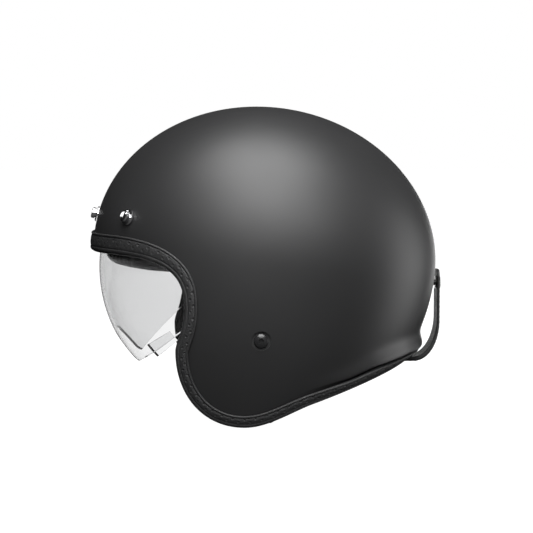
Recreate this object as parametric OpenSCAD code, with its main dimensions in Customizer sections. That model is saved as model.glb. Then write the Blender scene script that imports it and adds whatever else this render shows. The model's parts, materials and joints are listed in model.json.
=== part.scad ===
// Open face motorcycle helmet with a drop-down inner visor, snap studs, a goggle strap and a chin strap.
// The wearer faces -Y, +X is the wearer's left, +Z is up. The origin is the centre of the head cavity.

/* [Shell] */
// Length of the shell from brow to nape
shell_length = 269; // [262:1:276]
// Width of the shell
shell_width = 232; // [228:1:238]
// Height of the crown above the widest line
crown_rise = 115; // [112:1:118]
// Fall of the nape, as the half axis of its curve
nape_drop = 150; // [145:1:158]
// Fall of the cheeks, as the half axis of their curve
cheek_drop = 230; // [220:1:240]
// How far the brow is tipped up, in degrees
shell_tilt = 8.7; // [8:0.1:9.4]
// Fullness of the sides, where 0 is a plain ellipse
fullness = 0.10; // [0.08:0.01:0.12]
// Thickness of the shell
shell_wall = 3.5; // [3:0.1:3.8]
// Height of the lip round the nape
lip_height = 6.2; // [3:0.2:8]

/* [Edge trim] */
// Width of the trim over the brow
trim_face_width = 10; // [8:0.5:11]
// Width of the trim down the cheeks
trim_side_width = 6.6; // [6:0.2:8]
// Width of the trim under the shell
trim_base_width = 6.2; // [5:0.2:7]
// How proud the trim stands of the shell
trim_proud = 2.1; // [1.5:0.1:2.6]

/* [Liner] */
// Depth of the liner below the outer surface where the visor is stowed
pocket_depth = 14.6; // [14:0.1:15]
// Depth of the liner's inner face below the outer surface
liner_depth = 31; // [29:0.5:32]
// Depth of the cheek blocks below the outer surface
cheek_depth = 12.5; // [12:0.1:13]
// Thickness of the comfort pads
pad_thickness = 5.5; // [4:0.5:7]

/* [Visor] */
// Radius of the visor from its pivot to its front
visor_radius = 110.3; // [109.5:0.1:110.6]
// Half width of the visor at its pivots
visor_half = 106.5; // [106:0.1:106.6]
// Thickness of the visor
visor_wall = 2.2; // [1.8:0.1:2.4]
// Half width of the nose notch
notch_half = 27; // [24:1:30]
// Radius of the visor's two lower corners
notch_round = 9; // [4:1:12]

/* [Straps] */
// Width of the chin strap
chin_width = 24; // [20:1:25]
// Width of the goggle strap
goggle_width = 22; // [18:1:24]

/* [Hidden] */
half_length = shell_length / 2;
half_width = shell_width / 2;
tilt_z0 = 1;          // height of the shell ellipse's centre
fine = 48;            // facets of a round drawn as a circle

// ---------- vectors ----------
function unit(v) = v / norm(v);
function mir(p) = [-p.x, p.y, p.z];
function lerp(a, b, t) = a + (b - a) * t;
function smooth(t) = let (q = min(1, max(0, t))) q * q * (3 - 2 * q);

// ---------- the shell's outer surface ----------
// Side view coordinates [Y, Z] turned into the tipped frame of the shell's ellipse, and back.
function tip(y, z) = [cos(shell_tilt) * y - sin(shell_tilt) * (z - tilt_z0),
                      sin(shell_tilt) * y + cos(shell_tilt) * (z - tilt_z0)];
function untip(y, z) = [cos(shell_tilt) * y + sin(shell_tilt) * z,
                        tilt_z0 - sin(shell_tilt) * y + cos(shell_tilt) * z];
// Below the widest line the oval section keeps its shape, and its width and length fall on their own curves.
function section_width(z) = z >= 0 ? half_width : half_width * sqrt(1 - pow(z / cheek_drop, 2));
function section_length(y, z) = half_length * sqrt(1 - pow(z / (y > 0 ? nape_drop : cheek_drop), 2));
function spread2(t) = t[1] >= 0 ? pow(t[0] / half_length, 2) + pow(t[1] / crown_rise, 2)
                                : pow(t[0] / section_length(t[0], t[1]), 2);
function level(p) = let (t = tip(p.y, p.z), r = spread2(t))
    pow(p.x / (section_width(t[1]) * (1 + fullness * r)), 2) + r - 1;
function slope(p, h = 0.01) = [level(p + [h, 0, 0]) - level(p - [h, 0, 0]),
                               level(p + [0, h, 0]) - level(p - [0, h, 0]),
                               level(p + [0, 0, h]) - level(p - [0, 0, h])] / (2 * h);
function normal(p) = unit(slope(p));
function half_x(y, z) = let (t = tip(y, z), r = min(1, spread2(t)))
    section_width(t[1]) * sqrt(1 - r) * (1 + fullness * r);
function on_shell(p, n = 3) = n == 0 ? p : let (g = slope(p)) on_shell(p - g * level(p) / (g * g), n - 1);
function at(y, z) = [half_x(y, z), y, z];
// The centre line, by the angle round the tipped ellipse: 180 is the brow, 90 the crown, 0 the nape.
function centre_line(a) = let (drop = cos(a) > 0 ? nape_drop : cheek_drop)
    untip(half_length * cos(a), (sin(a) >= 0 ? crown_rise : drop) * sin(a));
function centre_angle(q) = let (t = tip(q[0], q[1]), drop = t[0] > 0 ? nape_drop : cheek_drop,
                                a = atan2(t[1] / (t[1] >= 0 ? crown_rise : drop), t[0] / half_length))
    a < -90 ? a + 360 : a;

// ---------- edges in side view: chains of Bezier curves from the brow's centre to the nape's ----------
function bez(c, t) = let (u = 1 - t)
    u * u * u * c[0] + 3 * u * u * t * c[1] + 3 * u * t * t * c[2] + t * t * t * c[3];
function chain_at(chain, s) = let (k = min(len(chain) - 1, floor(s))) bez(chain[k], s - k);
function straight(a, b) = [a, lerp(a, b, 1 / 3), lerp(a, b, 2 / 3), b];

shell_brow = centre_line(183.2);
shell_nape = centre_line(-22.8);
shell_edge = [
    [shell_brow, [-100, 10.5], [-62.2, 8], [-61.6, -28]],
    [[-61.6, -28], [-60.2, -46], [-68, -58], [-68, -64]],
    [[-68, -64], [-68, -94], [-50, -118], [-20, -118]],
    [[-20, -118], [-3, -118], [14, -106.5], [30, -101.5]],
    straight([30, -101.5], shell_nape)
];
liner_brow = centre_line(183.2);
liner_nape = centre_line(-14);
liner_edge = [
    [liner_brow, [-100, 10.5], [-56, 9], [-54, -20]],
    [[-54, -20], [-54, -34], [-50, -44], [-38, -46]],
    straight([-38, -46], [40, -50]),
    straight([40, -50], liner_nape)
];
crown_low = 30;       // height of the crown pad's edge in the tipped frame
crown_brow = centre_line(180 - asin(crown_low / crown_rise));
crown_nape = centre_line(asin(crown_low / crown_rise));
crown_edge = [
    straight(crown_brow, lerp(crown_brow, crown_nape, 0.3)),
    straight(lerp(crown_brow, crown_nape, 0.3), lerp(crown_brow, crown_nape, 0.7)),
    straight(lerp(crown_brow, crown_nape, 0.7), crown_nape)
];

// Share of the way up a hoop, spaced evenly along the surface of the dome.
hoop_start = -55;
function rise(t) = (sin(lerp(hoop_start, 90, t)) - sin(hoop_start)) / (1 - sin(hoop_start));
// A chain's point laid on the shell's surface, or in the middle plane.
function laid(q, middle = false) = middle ? [0, q[0], q[1]] : at(q[0], q[1]);
// Half of an edge on the shell's surface: m steps up each hoop end, n along the side from s = a to s = b.
function half_edge(chain, a, b, m, n) = [
    for (j = [m:-1:0]) laid(chain_at(chain, a * (1 - rise(j / m))), j == m),
    for (i = [1:n]) laid(chain_at(chain, lerp(a, b, i / n))),
    for (j = [1:m]) laid(chain_at(chain, lerp(b, len(chain), rise(j / m))), j == m)
];
function along(P) = [for (k = [0:len(P) - 1])
    unit((k == len(P) - 1 ? mir(P[k - 1]) : P[k + 1]) - (k == 0 ? mir(P[1]) : P[k - 1]))];
// Points at distance d inside an edge, on the shell's surface.
function inset(P, T, d) = [for (k = [0:len(P) - 1]) on_shell(P[k] - unit(cross(T[k], normal(P[k]))) * d)];

// The patch inside the innermost ring: rows i run brow to nape, columns j run up to the centre line.
function patch(R, m, n) = let (
        a0 = centre_angle([R[0].y, R[0].z]), a1 = centre_angle([R[2 * m + n].y, R[2 * m + n].z]),
        flat = [for (p = R) [p.y, p.z]])
    [for (i = [0:n]) let (u = i / n, top = centre_line(lerp(a0, a1, u)))
        [for (j = [0:m]) let (t = rise(j / m),
            q = (1 - u) * flat[m - j] + u * flat[m + n + j] + (1 - t) * flat[m + i] + t * top
              - (1 - t) * lerp(flat[m], flat[m + n], u) - t * lerp(flat[0], flat[2 * m + n], u))
            laid(q, j == m)]];

// A closed cap between two offsets of the shell's surface. out(p, d) and in(p, d) give the offsets along the
// normal at a point p that lies d inside the edge.
module cap(chain, a, b, m, n, out_rings, in_rings, out, in) {
    edge = half_edge(chain, a, b, m, n);
    T = along(edge);
    h = 2 * m + n;             // steps in half the edge
    ring = 2 * h;              // points in a ring
    cols = 2 * m + 1;
    function full_ring(P) = [for (k = [0:ring - 1]) k <= h ? P[k] : mir(P[ring - k])];
    function moved(P, d, f) = [for (p = P) p + normal(p) * f(p, d)];
    function rings(D, f) = [for (k = [0:len(D) - 2]) each full_ring(moved(inset(edge, T, D[k]), D[k], f))];
    function core(D, f) = let (d = D[len(D) - 1], G = patch(inset(edge, T, d), m, n))
        [for (row = G) let (r = moved(row, d, f)) for (j = [0:2 * m]) j <= m ? r[j] : mir(r[2 * m - j])];
    function core_at(k) = let (q = k <= h ? k : ring - k,
            i = q <= m ? 0 : q <= m + n ? q - m : n,
            j = q <= m ? m - q : q <= m + n ? 0 : q - m - n)
        i * cols + (k <= h ? j : 2 * m - j);
    function at_ring(D, base, r, k) = r < len(D) - 1 ? base + r * ring + (k % ring)
                                                     : base + (len(D) - 1) * ring + core_at(k % ring);
    // Two triangles of a quad, with the diagonal mirrored on the far half.
    function quad(a, b, c, d, flip, far) = far ? (flip ? [[a, b, d], [b, c, d]] : [[d, b, a], [d, c, b]])
                                               : (flip ? [[a, b, c], [a, c, d]] : [[c, b, a], [d, c, a]]);
    function skin(D, base, flip) = concat(
        [for (r = [0:len(D) - 2]) for (k = [0:ring - 1])
            each quad(at_ring(D, base, r, k), at_ring(D, base, r, k + 1),
                      at_ring(D, base, r + 1, k + 1), at_ring(D, base, r + 1, k), flip, k >= h)],
        [for (i = [0:n - 1]) for (j = [0:2 * m - 1]) let (o = base + (len(D) - 1) * ring + i * cols + j)
            each quad(o, o + 1, o + cols + 1, o + cols, !flip, j >= m)]);
    outer = concat(rings(out_rings, out), core(out_rings, out));
    inner = concat(rings(in_rings, in), core(in_rings, in));
    base = len(outer);
    rim = [for (k = [0:ring - 1])
        each quad(at_ring(in_rings, base, 0, k), at_ring(in_rings, base, 0, k + 1),
                  at_ring(out_rings, 0, 0, k + 1), at_ring(out_rings, 0, 0, k), false, k >= h)];
    polyhedron(points = concat(outer, inner),
               faces = concat(skin(out_rings, 0, false), skin(in_rings, base, true), rim));
}

// ---------- the lip round the nape ----------
lip_at = 9.5;         // distance of the lip's crest from the edge
lip_climb = 3;        // how much further up it runs beside the nape
lip_above = 6.5;      // how far it blends up the shell
lip_below = 1.4;      // how sharply it ends over the trim
function lip_share(p) = smooth((p.y - 15) / 105); // it grows from the middle of the side to the nape
function climb(p) = lip_climb * smooth((p.y - 55) / 25) * (1 - smooth((p.y - 98) / 20));
function lip(p, d) = let (e = d - lip_at - climb(p), q = e / (e > 0 ? lip_above : lip_below))
    lip_height * lip_share(p) * exp(-q * q);

// ---------- holes and fasteners: places ----------
function frame_at(p, n) = let (z = n, x = unit(cross([0, 0, 1], z)), y = cross(z, x))
    [[x.x, y.x, z.x, p.x], [x.y, y.y, z.y, p.y], [x.z, y.z, z.z, p.z], [0, 0, 0, 1]];
snap_z = 33.5;
snap_centre = on_shell([0, -133, snap_z]);
snap_side = on_shell([69.8, -105.6, snap_z]);
snap_places = [snap_centre, snap_side, mir(snap_side)];
rear_snap = on_shell([0, 132, -22]);
rear_axis = [0, cos(12), -sin(12)];
anchor = [112.4, -8.3, -54.9];
pivot = [0, -19.4, -9];
anchor_r = 3;         // shaft of the anchor bolt
snap_shaft_r = 1.5;   // shaft of a snap stud
pivot_r = 4;          // boss that the visor turns on

module both_sides() {
    children();
    mirror([1, 0, 0]) children();
}
module along_x(x, p) { // a piece drawn along +Z, laid along +X from x at side view place p
    translate([x, p.y, p.z]) rotate([0, 90, 0]) children();
}

// ---------- shell, trim and liner ----------
module snap_bore() translate([0, 0, -8]) cylinder(r = snap_shaft_r + 0.1, h = 12, $fn = fine);
module outer_shell() {
    color("#232325") difference() {
        cap(shell_edge, 2.6, 4, 20, 28, [0, 6.4, 8, lip_at, 11, lip_at + lip_climb, 15, 18, 22, 28],
            [0, 9, 28],
            function (p, d) lip(p, d), function (p, d) lip(p, d) * 0.5 - shell_wall);
        for (p = snap_places) multmatrix(frame_at(p, normal(p))) snap_bore();
        multmatrix(frame_at(rear_snap, rear_axis)) snap_bore();
        both_sides() {
            along_x(anchor.x - 10, anchor) cylinder(r = anchor_r + 0.2, h = 20, $fn = fine);
            along_x(anchor.x - 1.6, anchor) cylinder(r = 7.2, h = 20, $fn = fine);
        }
    }
}

// The trim's outline round the shell's edge: [offset along the normal, distance inside the edge].
// w is the width of its outer leg, and s is 1 where the leg thickens to meet the lip above it.
inner_leg = 6;
trim_gap = 0.35;      // clearance between the trim's channel and the shell
trim_wedge = 2.8;     // how much it thickens under the lip
trim_follow = 0.8;    // share of the lip's climb that its outer leg widens by
function trim_outline(w, s) = [
    [trim_gap, w / 2], [trim_gap, w], [trim_proud - 0.5 + trim_wedge * s, w + 0.5 - 0.8 * s],
    [trim_proud + 0.3 + (trim_wedge + 0.2) * s, w - 0.8 - 0.5 * s], [trim_proud + 0.5 * s, 0.6],
    [1.1, -2.1], [-1.7, -3.1], [-4.1, -2.1], [-shell_wall - 1.5, 0],
    [-shell_wall - 1.5, inner_leg], [-shell_wall - trim_gap - 0.1, inner_leg],
    [-shell_wall - trim_gap - 0.1, -trim_gap], [trim_gap, -trim_gap]
];
// Runs an outline along an edge, both halves, as a closed loop or an open bar between s = a and its mirror.
module edge_bar(P, outline, closed, backward = false) {
    T = along(P);
    last = len(P) - 1;
    function ring_at(k) = let (m = unit(cross(T[k], normal(P[k])))) [for (c = outline(k / last, P[k]))
        let (q = on_shell(P[k] - m * c[1])) q + normal(q) * c[0]];
    half = [for (k = [0:last]) ring_at(k)];
    all = closed ? concat(half, [for (k = [last - 1:-1:1]) [for (p = half[k]) mir(p)]])
                 : concat([for (k = [last:-1:1]) [for (p = half[k]) mir(p)]], half);
    w = len(all[0]);
    rings = len(all);
    side = [for (r = [0:rings - (closed ? 1 : 2)]) for (c = [0:w - 1])
        let (next = ((r + 1) % rings) * w, d = (c + 1) % w)
        each [[r * w + c, next + c, next + d], [r * w + c, next + d, r * w + d]]];
    ends = closed ? [] : [[for (c = [0:w - 1]) c], [for (c = [w - 1:-1:0]) (rings - 1) * w + c]];
    faces = concat(side, ends);
    polyhedron(points = [for (r = all) each r],
               faces = backward ? [for (f = faces) [for (k = [len(f) - 1:-1:0]) f[k]]] : faces);
}

trim_path = half_edge(shell_edge, 2.6, 4, 20, 14);
module edge_trim() {
    function width(t) = lerp(lerp(trim_face_width, trim_side_width, smooth((t - 0.075) / 0.125)),
                             trim_base_width, smooth((t - 0.32) / 0.15));
    color("#1b1b1d") edge_bar(trim_path,
        function (t, p) trim_outline(width(t) + trim_follow * climb(p), lip_share(p)), true);
}

function liner_gap(p) = lerp(pocket_depth, shell_wall + 0.8, smooth((p.y - 12) / 50));
module impact_liner() {
    color("#33363a") difference() {
        cap(liner_edge, 1.5, 3, 13, 16, [0, 12], [0, 12],
            function (p, d) -liner_gap(p), function (p, d) -liner_depth);
        both_sides() along_x(99, pivot) cylinder(r = 9, h = 20, $fn = fine);
        multmatrix(frame_at(rear_snap, rear_axis)) translate([0, 0, -8]) cylinder(r = 6, h = 8, $fn = fine);
    }
}
module crown_pad() {
    d0 = liner_depth + 1.6;
    color("#1d1d1f") cap(crown_edge, 1, 2, 9, 10, [0, 8], [0, 8],
        function (p, d) -d0, function (p, d) -d0 - (d > 4 ? pad_thickness : 2.5));
}

// Half of the liner's edge between two places on its chain, from the centre line outwards.
function half_path(from, to) = [for (k = [0:12])
    laid(chain_at(liner_edge, lerp(from, to, 1 - rise(1 - k / 12))), k == 0)];
brow_path = half_path(0, 1.05);
module brow_pad() {
    d = liner_depth;
    function shift(t) = -4 * smooth(2 * t) * (1 - smooth((t - 0.4) / 0.35));
    color("#19191b") edge_bar(brow_path, function (t, p) let (e = shift(t)) [
        [-11.6, -1], [-11.6, e - 7], [-16, e - 10], [-30, e - 10.5], [-d - pad_thickness, e - 7],
        [-d - pad_thickness - 1, 4], [-d - pad_thickness, 16], [-d - 0.4, 18], [-d - 0.4, -1]
    ], false);
}
roll_path = half_path(4, 3.12);
module neck_roll() {
    d = liner_depth;
    color("#19191b") edge_bar(roll_path, function (t, p) [
        [-6.2, 1], [-6.2, 8], [-9, 15], [-20, 17], [-32, 13], [-d - pad_thickness - 1, 2],
        [-d - pad_thickness, -14], [-d - 0.4, -16], [-d - 0.4, 1]
    ], false, true);
}

// A slab that follows the shell between two depths, with its inner face crowned by some more. Its corners are
// [front top, rear top, rear bottom, front bottom] in side view.
module slab(corners, depth_out, depth_in, crown, nu = 8, nv = 5) {
    function place(u, v) = laid(lerp(lerp(corners[0], corners[1], u), lerp(corners[3], corners[2], u), v)
        + [3 * (2 * u - 1) * sin(180 * v), (v - 0.5) * -5 * sin(180 * u)]);
    outer = [for (i = [0:nu]) for (j = [0:nv]) let (p = place(i / nu, j / nv)) p - normal(p) * depth_out];
    inner = [for (i = [0:nu]) for (j = [0:nv]) let (p = place(i / nu, j / nv))
        p - normal(p) * (depth_in + crown * sqrt(sin(180 * i / nu) * sin(180 * j / nv)))];
    c = nv + 1;
    base = len(outer);
    function two(a, b, e, f) = [[a, b, e], [a, e, f]];
    top = [for (i = [0:nu - 1]) for (j = [0:nv - 1])
        let (o = i * c + j) each two(o, o + c, o + c + 1, o + 1)];
    low = [for (f = top) [base + f[2], base + f[1], base + f[0]]];
    loop = concat([for (i = [0:nu - 1]) i * c], [for (j = [0:nv - 1]) nu * c + j],
                  [for (i = [nu:-1:1]) i * c + nv], [for (j = [nv:-1:1]) j]);
    wall = [for (k = [0:len(loop) - 1]) let (a = loop[k], b = loop[(k + 1) % len(loop)])
        each two(a, base + a, base + b, b)];
    polyhedron(points = concat(outer, inner), faces = concat(top, low, wall));
}
cheek_corners = [[-55, -52], [46, -56], [42, -84], [-53, -96]];
module cheek_block() {
    difference() {
        slab(cheek_corners, cheek_depth, cheek_depth + 12, 0);
        along_x(96.5, anchor) cylinder(r = 8.5, h = 20, $fn = fine);
    }
}
module cheek_pad() slab(cheek_corners, cheek_depth + 13.2, cheek_depth + 17, 8);
module cheek_block_left() color("#33363a") cheek_block();
module cheek_block_right() color("#33363a") mirror([1, 0, 0]) cheek_block();
module cheek_pad_left() color("#1d1d1f") cheek_pad();
module cheek_pad_right() color("#1d1d1f") mirror([1, 0, 0]) cheek_pad();

// Press studs that hold the pads: a thin button in the gap between the pieces it joins.
stud_r = 4;
module press_studs(places, depth) {
    for (q = places) let (p = at(q[0], q[1]))
        both_sides() multmatrix(frame_at(p, normal(p))) translate([0, 0, -depth])
            cylinder(r = stud_r, h = 0.5, $fn = fine);
}
cheek_studs = [[-38, -62], [28, -64], [-30, -86]];
crown_studs = [[-60, 60], [60, 52]];
module cheek_pad_studs() color("#3a3a3c") press_studs(cheek_studs, cheek_depth + 12.8);
module crown_pad_studs() color("#3a3a3c") press_studs(crown_studs, liner_depth + 1.1);

// ---------- visor ----------
visor_low = -41.5;    // angle of its lower edge below the horizon, from the pivot
visor_high = 14;      // angle of its upper edge
visor_steps = 26;     // facets across half of it
visor_fullness = 0.06; // fullness of its sides, as for the shell
visor_cut = 84;       // where its arc stops short of the pivot axis, in degrees
function visor_r(x, r0, x0) = let (q = pow(x / x0, 2)) r0 * sqrt(max(0, 1 - q)) * (1 + visor_fullness * q);
function visor_curve(r0, x0) = [for (k = [-visor_steps:visor_steps])
    let (x = x0 * sin(visor_cut * k / visor_steps)) [visor_r(x, r0, x0), x]];
// Sweeps an outline [radius, x] about the pivot axis between two angles above the forward horizon.
module about_pivot(low, high) {
    translate(pivot) rotate([0, 90, 0]) rotate([0, 0, -90 - high])
        rotate_extrude(angle = high - low, $fn = 180) children();
}
notch_stretch = 1.12; // the nose notch's height over its half width
notch_low = -0.5;     // where its rounded corners run out, just below the lower edge
// The nose notch, a circle that meets the lower edge in rounded corners.
function notch_outline() = let (f = notch_round, c = sqrt(pow(notch_half + f, 2) - f * f),
        a = asin(f / (notch_half + f)),
        corner = [for (k = [0:6]) let (t = lerp(270, 180 + a, k / 6)) [c + f * cos(t), f + f * sin(t)]],
        arch = [for (k = [1:23]) let (t = lerp(a, 180 - a, k / 24)) notch_half * [cos(t), sin(t)]])
    concat([[c, -20]], corner, arch, [for (k = [6:-1:0]) [-corner[k][0], corner[k][1]]], [[-c, -20]]);
module visor_lens() {
    inner = visor_curve(visor_radius - visor_wall, visor_half - visor_wall);
    outer = visor_curve(visor_radius, visor_half);
    color("#c9ccd0", 0.45) difference() {
        union() {
            about_pivot(visor_low, visor_high)
                polygon(concat(outer, [for (k = [len(inner) - 1:-1:0]) inner[k]]));
            both_sides() along_x(visor_half - visor_wall, pivot) cylinder(r = 15, h = visor_wall, $fn = fine);
        }
        both_sides() along_x(visor_half - 10, pivot) cylinder(r = pivot_r + 0.06, h = 20, $fn = fine);
        translate(pivot) rotate([-visor_low, 0, 0]) rotate([90, 0, 0]) translate([0, 0, 60])
            linear_extrude(80) polygon([for (p = notch_outline()) [p[0], p[1] * notch_stretch + notch_low]]);
    }
}
module visor_grip() {
    function face(x) = [visor_r(x, visor_radius, visor_half), x];
    xs = [65, 69, 73, 77, 81, 85];
    last = len(xs) - 1;
    function raised(k) = face(xs[k]) + (k == 0 || k == last ? [1, 0] : [2.2, 0.4]);
    color("#9a9da1", 0.6) about_pivot(visor_low - 2.5, visor_low + 5)
        polygon(concat([for (x = xs) face(x) + [0.1, 0]], [for (k = [last:-1:0]) raised(k)]));
}
module visor_pivot() {
    along_x(visor_half - visor_wall - 0.4, pivot) difference() {
        union() {
            cylinder(r = pivot_r, h = visor_wall + 2, $fn = fine);
            translate([0, 0, visor_wall + 1.3]) cylinder(r = 13, h = 1.9, $fn = fine);
        }
        translate([0, 0, -1]) cylinder(r = 1.6, h = 5.4, $fn = fine);
    }
}
module visor_pivot_left() color("#202022") visor_pivot();
module visor_pivot_right() color("#202022") mirror([1, 0, 0]) visor_pivot();
module visor_wave_washers() {
    color("silver") both_sides() along_x(visor_half + 0.15, pivot) difference() {
        cylinder(r = 8, h = 0.6, $fn = fine);
        translate([0, 0, -1]) cylinder(r = pivot_r + 0.1, h = 3, $fn = fine);
    }
}
module visor_pivot_screws() {
    color("silver") both_sides() along_x(visor_half - visor_wall - 0.5, pivot) {
        translate([0, 0, -2.6]) difference() {
            cylinder(r = 6.5, h = 2.6, $fn = fine);
            translate([0, 0, -0.1]) cylinder(r = 2, h = 1.5, $fn = 6);
        }
        cylinder(r = 1.55, h = 4, $fn = fine);
    }
}

// ---------- snap studs ----------
stud_flange_r = 6.2;
stud_head_r = 4.2;
stud_height = 5.2;
module snap_stud() { // along +Z from the shell's surface
    rotate_extrude($fn = fine) polygon([
        [0, 0.35], [stud_flange_r, 0.35], [stud_flange_r, 0.8], [stud_flange_r - 1, 1.4], [3.3, 1.6],
        [3.3, 2], [stud_head_r, 2.3], [stud_head_r, stud_height - 0.9],
        [stud_head_r - 0.9, stud_height - 0.2], [0, stud_height]
    ]);
    translate([0, 0, -shell_wall - 2]) cylinder(r = snap_shaft_r, h = shell_wall + 2.6, $fn = fine);
}
module snap_nut() { // a flanged nut under the shell
    translate([0, 0, -shell_wall - 2.1]) difference() {
        cylinder(r = 4.5, h = 1.1, $fn = fine);
        translate([0, 0, -1]) cylinder(r = 1.55, h = 4, $fn = fine);
    }
}
module brow_snap_studs() color("silver") for (p = snap_places) multmatrix(frame_at(p, normal(p))) snap_stud();
module brow_snap_nuts() color("gray") for (p = snap_places) multmatrix(frame_at(p, normal(p))) snap_nut();

// ---------- goggle strap at the nape ----------
goggle_wall = 2;          // thickness of the goggle strap at its snap
goggle_foot = 3.6;        // thickness where it is sewn to the tab
strap_back = 137.4;       // Y of the strap's outer face
strap_bend_z = -50;       // height where it starts to curl under the nape
strap_floor = -83.4;      // Z of its lowest face
strap_hinge = [0, 117.5, strap_floor + goggle_foot / 2];
module along_y(y) { // a piece drawn along +Z, laid along +Y from y on the snap's axis
    translate([0, y, rear_snap.z]) rotate([-90, 0, 0]) children();
}
module rear_snap_post() {
    color("#2a2a2c") {
        multmatrix(frame_at(rear_snap, rear_axis)) {
            translate([0, 0, 0.3]) cylinder(r = 5, h = 0.6, $fn = fine);
            translate([0, 0, -shell_wall - 2]) cylinder(r = snap_shaft_r, h = shell_wall + 2.6, $fn = fine);
        }
        along_y(rear_snap.y + 0.8) rotate_extrude($fn = fine)
            polygon([[0, 0], [2.2, 0], [2.2, 1.5], [2.5, 2], [2.5, 2.6], [2, 3.2], [0, 3.2]]);
    }
}
module rear_snap_nut() color("gray") multmatrix(frame_at(rear_snap, rear_axis)) snap_nut();
module goggle_strap() {
    reach = strap_back - strap_hinge.y;
    drop = strap_bend_z - strap_floor;
    function curl(top_wall, foot_wall) = [for (a = [0:9:90])
        [strap_hinge.y + (reach - top_wall) * cos(a), strap_bend_z - (drop - foot_wall) * sin(a)]];
    top = [[strap_back - goggle_wall, -11.5], [strap_back - 0.6, -11.5], [strap_back, -13]];
    outer = concat(top, curl(0, 0));
    inner = curl(goggle_wall, goggle_foot);
    color("#1b1b1d") difference() {
        translate([-goggle_width / 2, 0, 0]) rotate([90, 0, 90]) linear_extrude(goggle_width)
            polygon(concat(outer, [for (k = [len(inner) - 1:-1:0]) inner[k]]));
        along_y(strap_back - 10) cylinder(r = 3.2, h = 20, $fn = fine);
    }
}
module goggle_strap_tab() {
    color("#1b1b1d") translate([-goggle_width / 2, strap_hinge.y - 14, strap_floor])
        cube([goggle_width, 12, goggle_foot]);
}
module goggle_snap_socket() { // a sprung ring in the strap that grips the post
    color("#2a2a2c") along_y(strap_back - goggle_wall - 0.75) difference() {
        union() {
            cylinder(r = 5, h = 0.7, $fn = fine);
            cylinder(r = 3.1, h = goggle_wall + 0.75, $fn = fine);
        }
        translate([0, 0, -1]) cylinder(r = 2.75, h = 8, $fn = fine);
    }
}
module goggle_snap_cap() {
    color("#2a2a2c") along_y(strap_back + 0.05) rotate_extrude($fn = fine)
        polygon([[0, 0], [6.3, 0], [6.3, 0.5], [5.2, 1.3], [3, 1.7], [0, 1.8]]);
}

// ---------- chin strap ----------
module anchor_bolt() {
    along_x(anchor.x - 1.4, anchor) difference() {
        rotate_extrude($fn = fine) polygon(concat([[0, 0], [5.4, 0], [5.4, 0.9]],
            [for (a = [15:15:90]) [5.4 * cos(a), 0.9 + 1.7 * sin(a)]]));
        translate([0, 0, 1.2]) cylinder(r = 2.1, h = 3, $fn = 6);
    }
    along_x(98.5, anchor) cylinder(r = anchor_r, h = anchor.x - 1.5 - 98.5 + 0.2, $fn = fine);
}
module anchor_bolt_left() color("#3a3a3c") anchor_bolt();
module anchor_bolt_right() color("#3a3a3c") mirror([1, 0, 0]) anchor_bolt();
plate_x = 101.7;
plate_wall = 1.6;
module anchor_spacers() {
    color("#e4e2da") both_sides() along_x(plate_x + plate_wall + 0.15, anchor) difference() {
        cylinder(r = 5, h = 4.1, $fn = fine);
        translate([0, 0, -1]) cylinder(r = anchor_r + 0.05, h = 8, $fn = fine);
    }
}
module anchor_nuts() {
    color("silver") both_sides() along_x(97.6, anchor) difference() {
        cylinder(r = 6.5, h = 3.9, $fn = 6);
        translate([0, 0, -1]) cylinder(r = anchor_r + 0.02, h = 8, $fn = fine);
    }
}
plate_slot_drop = 12;
module anchor_plate() {
    along_x(plate_x, anchor) difference() {
        union() {
            cylinder(r = 7.5, h = plate_wall, $fn = fine);
            translate([0, -7.5, 0]) cube([plate_slot_drop, 15, plate_wall]);
            translate([plate_slot_drop - 3, -15, 0]) cube([8, 30, plate_wall]);
        }
        translate([0, 0, -1]) cylinder(r = anchor_r + 0.06, h = 5, $fn = fine);
        translate([plate_slot_drop, -chin_width / 2 - 0.5, -1]) cube([2.8, chin_width + 1, 5]);
    }
}
module anchor_plate_left() color("silver") anchor_plate();
module anchor_plate_right() color("silver") mirror([1, 0, 0]) anchor_plate();

// The strap's centre line, [x, Z], from an anchor plate to the middle under the chin.
strap_line = [[100.3, -77], [100.2, -70.4], [101, -68.6], [102.5, -68.2], [104, -68.6], [104.7, -70.4],
              [103.3, -77], [100.4, -84], [96, -92.5], [89.5, -101], [80, -107.5], [66, -113.5], [50, -118],
              [25, -122.5], [0, -124]];
function pts_dir(P, k) = unit(P[min(k + 1, len(P) - 1)] - P[max(k - 1, 0)]);
chin_wall = 2;                // thickness of the chin strap
// A flat webbing strip along points [x, Z], centred on the anchors' Y.
module webbing(P, wall = chin_wall, width = chin_width) {
    w = width / 2;
    rows = [for (k = [0:len(P) - 1]) let (d = pts_dir(P, k), n = [-d[1], d[0]] * wall / 2)
        [[P[k][0] + n[0], anchor.y - w, P[k][1] + n[1]], [P[k][0] + n[0], anchor.y + w, P[k][1] + n[1]],
         [P[k][0] - n[0], anchor.y + w, P[k][1] - n[1]], [P[k][0] - n[0], anchor.y - w, P[k][1] - n[1]]]];
    last = 4 * (len(rows) - 1);
    sides = [for (r = [0:4:last - 4]) for (c = [0:3]) let (a = r + c, b = r + (c + 1) % 4)
        each [[a, b, b + 4], [a, b + 4, a + 4]]];
    polyhedron(points = [for (r = rows) each r],
               faces = concat(sides, [[3, 2, 1, 0], [last, last + 1, last + 2, last + 3]]));
}
buckle_at = [38, -120.3];     // middle of the buckle in [x, Z]
buckle_lean = 11;             // slope of the strap there
buckle_length = 40;
buckle_wide = 27;
module in_buckle() { // +X of the drawing runs along the strap towards the left anchor, +Z away from the chin
    translate([buckle_at[0], anchor.y, buckle_at[1]]) rotate([0, -buckle_lean, 0])
        rotate([180, 0, 0]) children();
}
module chin_strap_left() {
    color("#161617") webbing([for (k = [0:11]) strap_line[k], [59.2, -115.8]]);
}
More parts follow.
